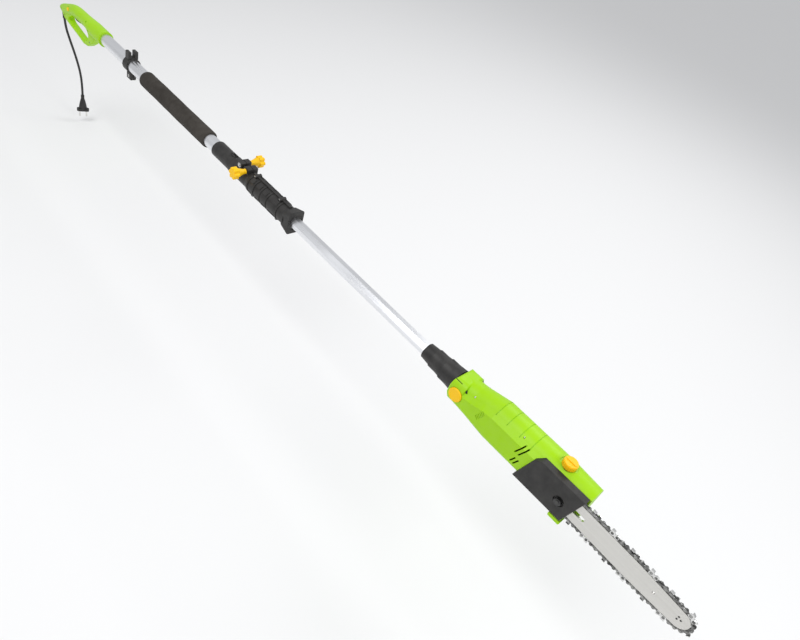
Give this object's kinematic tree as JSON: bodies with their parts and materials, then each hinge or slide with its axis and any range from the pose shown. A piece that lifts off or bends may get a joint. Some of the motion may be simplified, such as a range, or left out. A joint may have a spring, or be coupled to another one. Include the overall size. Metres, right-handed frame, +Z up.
{
  "type": "telescoping electric pole saw",
  "caption": "Corded pole saw with a looped rear handle, foam grip, telescoping pole, star-knob clamp and a tilting motor head with a short guide bar and chain.",
  "frame": {"origin": "on the pole's axis at the middle of the foam front grip, where one hand holds it", "axes": "+X along the pole towards the bar tip, +Z up, -Y the side of the bar and its cover"},
  "size_m": [2.1559, 0.096, 0.3975],
  "materials": {
    "lime_shell": "smooth moulded",
    "black_plastic": "fine grain",
    "yellow_plastic": "smooth moulded",
    "foam": "soft closed-cell foam",
    "black_rubber": "moulded",
    "cord_black": "smooth jacket",
    "plug_metal": "nickel plated",
    "pole_aluminium": "satin anodised",
    "zinc_steel": "zinc plated",
    "dark_steel": "oiled",
    "bar_steel": "ground and lacquered",
    "chain_steel": "blued",
    "cutter_chrome": "chromed",
    "cover_plastic": "fine grain"
  },
  "bodies": {
    "pole": {"handle_shell_left": "lime_shell", "handle_shell_right": "lime_shell", "handle_screws": "zinc_steel", "trigger_pin": "zinc_steel", "trigger_spring": "zinc_steel", "switch": "black_plastic", "strain_relief": "black_rubber", "mains_cord": "cord_black", "plug_body": "cord_black", "plug_pins": "plug_metal", "outer_tube": "pole_aluminium", "foam_grip": "foam", "collar": "black_plastic", "clamp_shell_left": "black_plastic", "clamp_shell_right": "black_plastic", "clamp_screws": "zinc_steel", "clamp_nuts": "zinc_steel", "guide_bush": "black_plastic"},
    "clip": {"cord_clip": "black_plastic", "clip_screw": "zinc_steel"},
    "trigger_lever": {"trigger": "black_plastic"},
    "lock_off": {"lock_button": "yellow_plastic"},
    "knob_near": {"near_knob": "yellow_plastic", "near_knob_bolt": "zinc_steel"},
    "knob_far": {"far_knob": "yellow_plastic", "far_knob_bolt": "zinc_steel"},
    "inner": {"inner_tube": "pole_aluminium", "slide_bush": "black_plastic", "connector_sleeve": "black_plastic"},
    "head": {"pivot_pin": "zinc_steel", "head_shell_near": "lime_shell", "head_shell_far": "lime_shell", "head_screws": "zinc_steel", "motor_field": "dark_steel", "motor_bearings": "zinc_steel", "bearing_brackets": "dark_steel", "output_bearings": "zinc_steel", "bar_stud": "dark_steel", "sprocket_cover": "cover_plastic", "tension_bracket": "dark_steel", "oil_tank": "black_plastic"},
    "release": {"pivot_button": "yellow_plastic"},
    "cap": {"oil_cap": "yellow_plastic"},
    "nut": {"cover_nut": "dark_steel"},
    "rotor": {"armature": "dark_steel", "cooling_fan": "black_plastic", "pinion": "dark_steel"},
    "drive": {"crown_gear": "dark_steel", "output_shaft": "dark_steel", "drive_sprocket": "dark_steel", "sprocket_clip": "dark_steel"},
    "bar": {"guide_bar": "bar_steel", "nose_race": "dark_steel", "chain_drive_links": "chain_steel", "chain_tie_straps": "chain_steel", "chain_cutters": "cutter_chrome", "chain_rivets": "chain_steel", "tension_block": "dark_steel"},
    "nose": {"nose_sprocket": "dark_steel"},
    "tensioner": {"tension_screw": "dark_steel"}
  },
  "joints": [
    {"name": "clip_slide", "type": "slide", "parent": "pole", "child": "clip", "axis": [1, 0, 0], "range_m": [-0.1, 0.03]},
    {"name": "trigger_squeeze", "type": "hinge", "parent": "pole", "child": "trigger_lever", "pos_m": [-0.496, 0, -0.003], "axis": [0, 1, 0], "range_deg": [0, 3.4], "stiffness_Nm_per_rad": 12, "springref_deg": -3.44, "deforming": ["trigger_spring"]},
    {"name": "lock_press", "type": "slide", "parent": "pole", "child": "lock_off", "axis": [0, 1, 0], "range_m": [0, 0.0025], "stiffness_N_per_m": 400, "springref_m": -0.001},
    {"name": "near_knob_turn", "type": "hinge", "parent": "pole", "child": "knob_near", "pos_m": [0.318, -0.03, 0.021], "axis": [0, -1, 0], "range_deg": [-540, 0]},
    {"name": "far_knob_turn", "type": "hinge", "parent": "pole", "child": "knob_far", "pos_m": [0.292, 0.03, 0.021], "axis": [0, 1, 0], "range_deg": [-540, 0]},
    {"name": "telescope", "type": "slide", "parent": "pole", "child": "inner", "axis": [1, 0, 0], "range_m": [-0.4, 0.2]},
    {"name": "head_tilt", "type": "hinge", "parent": "inner", "child": "head", "pos_m": [1.011, 0, 0], "axis": [0, 1, 0], "range_deg": [0, 30]},
    {"name": "release_press", "type": "slide", "parent": "head", "child": "release", "axis": [0, 1, 0], "range_m": [0, 0.003], "stiffness_N_per_m": 600, "springref_m": -0.001},
    {"name": "cap_turn", "type": "hinge", "parent": "head", "child": "cap", "pos_m": [1.229, -0.004, 0.045], "axis": [0, 0, 1], "range_deg": [0, 360]},
    {"name": "nut_turn", "type": "hinge", "parent": "head", "child": "nut", "pos_m": [1.25347, -0.038, -0.00385], "axis": [0, -1, 0], "range_deg": [-720, 0]},
    {"name": "motor_spin", "type": "hinge", "parent": "head", "child": "rotor", "pos_m": [1.1, 0.007, -0.0024], "axis": [1, 0, 0], "continuous": true},
    {"name": "drive_spin", "type": "hinge", "parent": "head", "child": "drive", "pos_m": [1.212, 0, -0.0024], "axis": [0, 1, 0], "continuous": true},
    {"name": "bar_tension", "type": "slide", "parent": "head", "child": "bar", "axis": [0.9994, 0, -0.0349], "range_m": [-0.003, 0]},
    {"name": "nose_spin", "type": "hinge", "parent": "bar", "child": "nose", "pos_m": [1.48233, -0.024, -0.01184], "axis": [0, 1, 0], "continuous": true},
    {"name": "tension_turn", "type": "hinge", "parent": "head", "child": "tensioner", "pos_m": [1.24943, -0.0195, 0.0093], "axis": [0.9994, 0, -0.0349], "range_deg": [-1370, 20]}
  ],
  "couplings": [
    {"joint": "drive_spin", "follows": "motor_spin", "ratio": -0.33333},
    {"joint": "nose_spin", "follows": "motor_spin", "ratio": -0.28571},
    {"joint": "tension_turn", "follows": "bar_tension", "rad_per_m": 7854}
  ]
}
